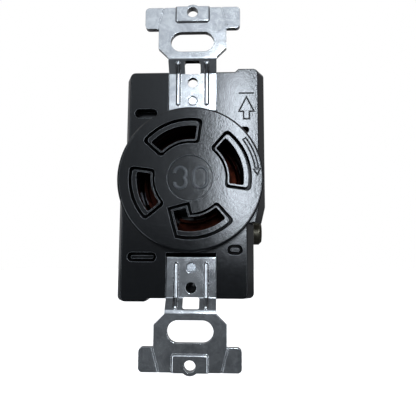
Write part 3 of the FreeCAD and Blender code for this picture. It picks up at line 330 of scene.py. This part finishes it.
def earth_screw_material():
    """The earth terminal's screw: olive green passivate over zinc, scuffed paler in patches."""
    material, tree, where, shader = new_material("earth_screw_green")
    wear = tree.noise(where, OLIVE_SCALE, detail=4, rough=0.65)
    tree.feed(shader, "Metallic", OLIVE_METALLIC)
    tree.feed(shader, "Base Color", tree.blend(tree.span(wear, 0.0, 1.0, *OLIVE_SPREAD), OLIVE, OLIVE_WORN))
    tree.feed(shader, "Roughness", tree.span(wear, *OLIVE_ROUGHNESS, *OLIVE_ROUGHNESS_SPREAD))
    tree.feed(shader, "Normal", tree.bump(wear, OLIVE_HEIGHT))
    return material


def make_materials():
    """One material for each slot named in the record."""
    materials = {
        "black_moulding": moulding_material(),
        "contact_copper": copper_material(),
        "earth_screw_green": earth_screw_material(),
    }
    for name, finish in PLATED_METALS.items():
        materials[name] = plated_material(name, *finish)
    return materials


def dress_nodes():
    """Gives each carried-over node the finish of its slot in the record."""
    materials = make_materials()
    for entry in frame["record"]["subparts"]:
        piece = frame["nodes"][entry["node"]]
        for place in piece.material_slots:
            place.material = materials[entry["material_slot"]]


# ---------------------------------------------------------------- stage and light

# Places and sizes of the floor are in metres.
FLOOR_LEVEL = -0.30
FLOOR_HALF = 3.0
FLOOR_FRONT = -0.05
FLOOR_TINTS = (colour(0.86, 0.86, 0.86), colour(0.9, 0.9, 0.9))
FLOOR_TINT_SCALE = 3
FLOOR_REFLECTED = colour(0.12, 0.12, 0.125)
FLOOR_ROUGHNESS = 0.7
FLOOR_LIFT = 0.75


def make_floor():
    """A plain pale floor below and behind the receptacle, which shows dark in its reflections."""
    corners = (
        (-FLOOR_HALF, FLOOR_FRONT, FLOOR_LEVEL),
        (FLOOR_HALF, FLOOR_FRONT, FLOOR_LEVEL),
        (FLOOR_HALF, 2 * FLOOR_HALF, FLOOR_LEVEL),
        (-FLOOR_HALF, 2 * FLOOR_HALF, FLOOR_LEVEL),
    )
    mesh = bpy.data.meshes.new("floor")
    mesh.from_pydata(corners, [], [(0, 1, 2, 3)])
    floor = bpy.data.objects.new("floor", mesh)
    bpy.context.scene.collection.objects.link(floor)
    material, tree, where, shader = new_material("floor_paint")
    tint = tree.noise(where, FLOOR_TINT_SCALE, detail=3, rough=0.55)
    pale = tree.blend(tint, *FLOOR_TINTS)
    tree.feed(shader, "Roughness", FLOOR_ROUGHNESS)
    seen = tree.add("ShaderNodeLightPath").outputs["Is Camera Ray"]
    tree.feed(shader, "Base Color", tree.blend(seen, FLOOR_REFLECTED, pale))
    tree.feed(shader, "Emission Color", colour(1.0, 1.0, 1.0))
    tree.feed(shader, "Emission Strength", tree.span(seen, 0.0, FLOOR_LIFT))
    mesh.materials.append(material)


# The room's brightness is set by direction. For a direction towards the front, the slope across is its x
# over its depth, and the slope up is its z over its depth, where the depth is -y and at least LEAST_DEPTH.
# ROOM_LEVELS gives the brightness at each slope up. KEY is the window, GLOW the soft light round it and SIDE
# the panel at each side. Directions that point back, or back and up, are brightened towards WORLD_BACK.
WORLD_WHITE = colour(1.0, 1.0, 1.0)
WORLD_SIDE = colour(0.1, 0.103, 0.11)
WORLD_BACK = colour(1.1, 1.11, 1.12)
WORLD_SIDE_SPREAD = (-0.3, -0.05)
LEAST_DEPTH = 0.05
BEHIND_SHARE = 0.12
BEHIND_SPREAD = (0.2, 0.6)
OVERHEAD_RISE = (0.45, 0.65)
OVERHEAD_BACK = (-0.05, 0.15)
ROOM_TINT = colour(0.89, 0.98, 1.08)
ROOM_LEVELS = (
    (-0.9, 0.11),
    (-0.35, 0.09),
    (-0.25, 0.1),
    (-0.06, 0.18),
    (0.03, 0.2),
    (0.12, 0.36),
    (0.3, 0.42),
    (0.65, 0.9),
    (1.0, 0.95),
    (1.5, 0.12),
)
ROOM_SIDE_START = 0.5
ROOM_SIDE_END = 0.9
ROOM_SIDE_SHARE = 0.18
GLOW_CENTRE = 0.03
GLOW_WIDTH = 0.17
GLOW_LEVEL = 1.1
GLOW_POWER = 2.0
KEY_CENTRE = 0.05
KEY_HALF = 0.031
KEY_SOFT = 0.056
KEY_BOTTOM = 0.055
KEY_FADE = 0.05
KEY_TOP = 0.445
KEY_TOP_FADE = 0.07
KEY_LEVEL = 30.0
SIDE_SLOPE = 0.6
SIDE_HALF = 0.16
SIDE_SOFT = 0.06
SIDE_TOP = 0.5
SIDE_LEVEL = 3.6


def room_brightness(tree, across, up):
    """Straight steps between the levels, by slope up, falling off to both sides."""
    level = ROOM_LEVELS[0][1]
    for (start, low), (end, high) in zip(ROOM_LEVELS, ROOM_LEVELS[1:]):
        level = tree.math("ADD", tree.span(up, 0, high - low, start, end), level)
    away = tree.math("ABSOLUTE", across, 0.0)
    share = tree.span(away, 1.0, ROOM_SIDE_SHARE, ROOM_SIDE_START, ROOM_SIDE_END)
    return tree.math("MULTIPLY", level, share)


def side_brightness(tree, across, up):
    """A bright panel at each side, which shows as thin lines on rounded edges."""
    away = tree.math("ABSOLUTE", across, 0.0)
    away = tree.math("ABSOLUTE", tree.math("SUBTRACT", away, SIDE_SLOPE), 0.0)
    panel = tree.span(away, SIDE_LEVEL, 0, SIDE_HALF - SIDE_SOFT, SIDE_HALF + SIDE_SOFT)
    height = tree.math("ABSOLUTE", up, 0.0)
    return tree.math("MULTIPLY", panel, tree.span(height, 1, 0, SIDE_TOP, SIDE_TOP + SIDE_SOFT))


def make_world():
    """The camera sees plain white. The receptacle reflects a dim room with a tall bright window.

    The window is just right of straight ahead and reaches up from level.
    """
    world = bpy.data.worlds.new("studio")
    bpy.context.scene.world = world
    tree = Tree(world)
    parts = tree.add("ShaderNodeSeparateXYZ")
    tree.links.new(tree.add("ShaderNodeTexCoord").outputs["Generated"], parts.inputs["Vector"])
    depth = tree.math("MAXIMUM", tree.math("MULTIPLY", parts.outputs["Y"], -1.0), LEAST_DEPTH)
    across = tree.math("DIVIDE", parts.outputs["X"], depth)
    up = tree.math("DIVIDE", parts.outputs["Z"], depth)

    above = tree.span(up, 0, 1, KEY_BOTTOM - KEY_FADE, KEY_BOTTOM + KEY_FADE)
    above = tree.math("MULTIPLY", above, tree.span(up, 1, 0, KEY_TOP, KEY_TOP + KEY_TOP_FADE))
    aside = tree.math("ABSOLUTE", tree.math("SUBTRACT", across, GLOW_CENTRE), 0.0)
    glow = tree.math("POWER", tree.span(aside, 1, 0, 0, 2 * GLOW_WIDTH), GLOW_POWER)
    glow = tree.math("MULTIPLY", tree.math("MULTIPLY", glow, GLOW_LEVEL), above)
    aside = tree.math("ABSOLUTE", tree.math("SUBTRACT", across, KEY_CENTRE), 0.0)
    key = tree.span(aside, 1, 0, KEY_HALF - KEY_SOFT / 2, KEY_HALF + KEY_SOFT / 2)
    key = tree.math("MULTIPLY", tree.math("MULTIPLY", key, above), KEY_LEVEL)
    front = tree.math("ADD", tree.math("ADD", room_brightness(tree, across, up), glow), key)
    front = tree.math("ADD", front, side_brightness(tree, across, up))

    scaled = tree.add("ShaderNodeVectorMath", operation="SCALE")
    scaled.inputs[0].default_value = ROOM_TINT[:3]
    tree.links.new(front, scaled.inputs["Scale"])
    sideways = tree.span(parts.outputs["Y"], 0, 1, *WORLD_SIDE_SPREAD)
    room = tree.blend(sideways, scaled.outputs["Vector"], WORLD_SIDE)
    rise = tree.span(parts.outputs["Z"], 0, 1, *OVERHEAD_RISE)
    overhead = tree.math("MULTIPLY", rise, tree.span(parts.outputs["Y"], 0, 1, *OVERHEAD_BACK))
    behind = tree.span(parts.outputs["Y"], 0, BEHIND_SHARE, *BEHIND_SPREAD)
    room = tree.blend(tree.math("MAXIMUM", overhead, behind), room, WORLD_BACK)
    seen = tree.add("ShaderNodeLightPath").outputs["Is Camera Ray"]
    light = tree.add("ShaderNodeBackground")
    tree.feed(light, "Color", tree.blend(seen, room, WORLD_WHITE))
    out = tree.add("ShaderNodeOutputWorld")
    tree.links.new(light.outputs["Background"], out.inputs["Surface"])


def make_light():
    make_world()
    bpy.context.scene.view_settings.view_transform = "Standard"


make_camera()
dress_nodes()
make_floor()
make_light()
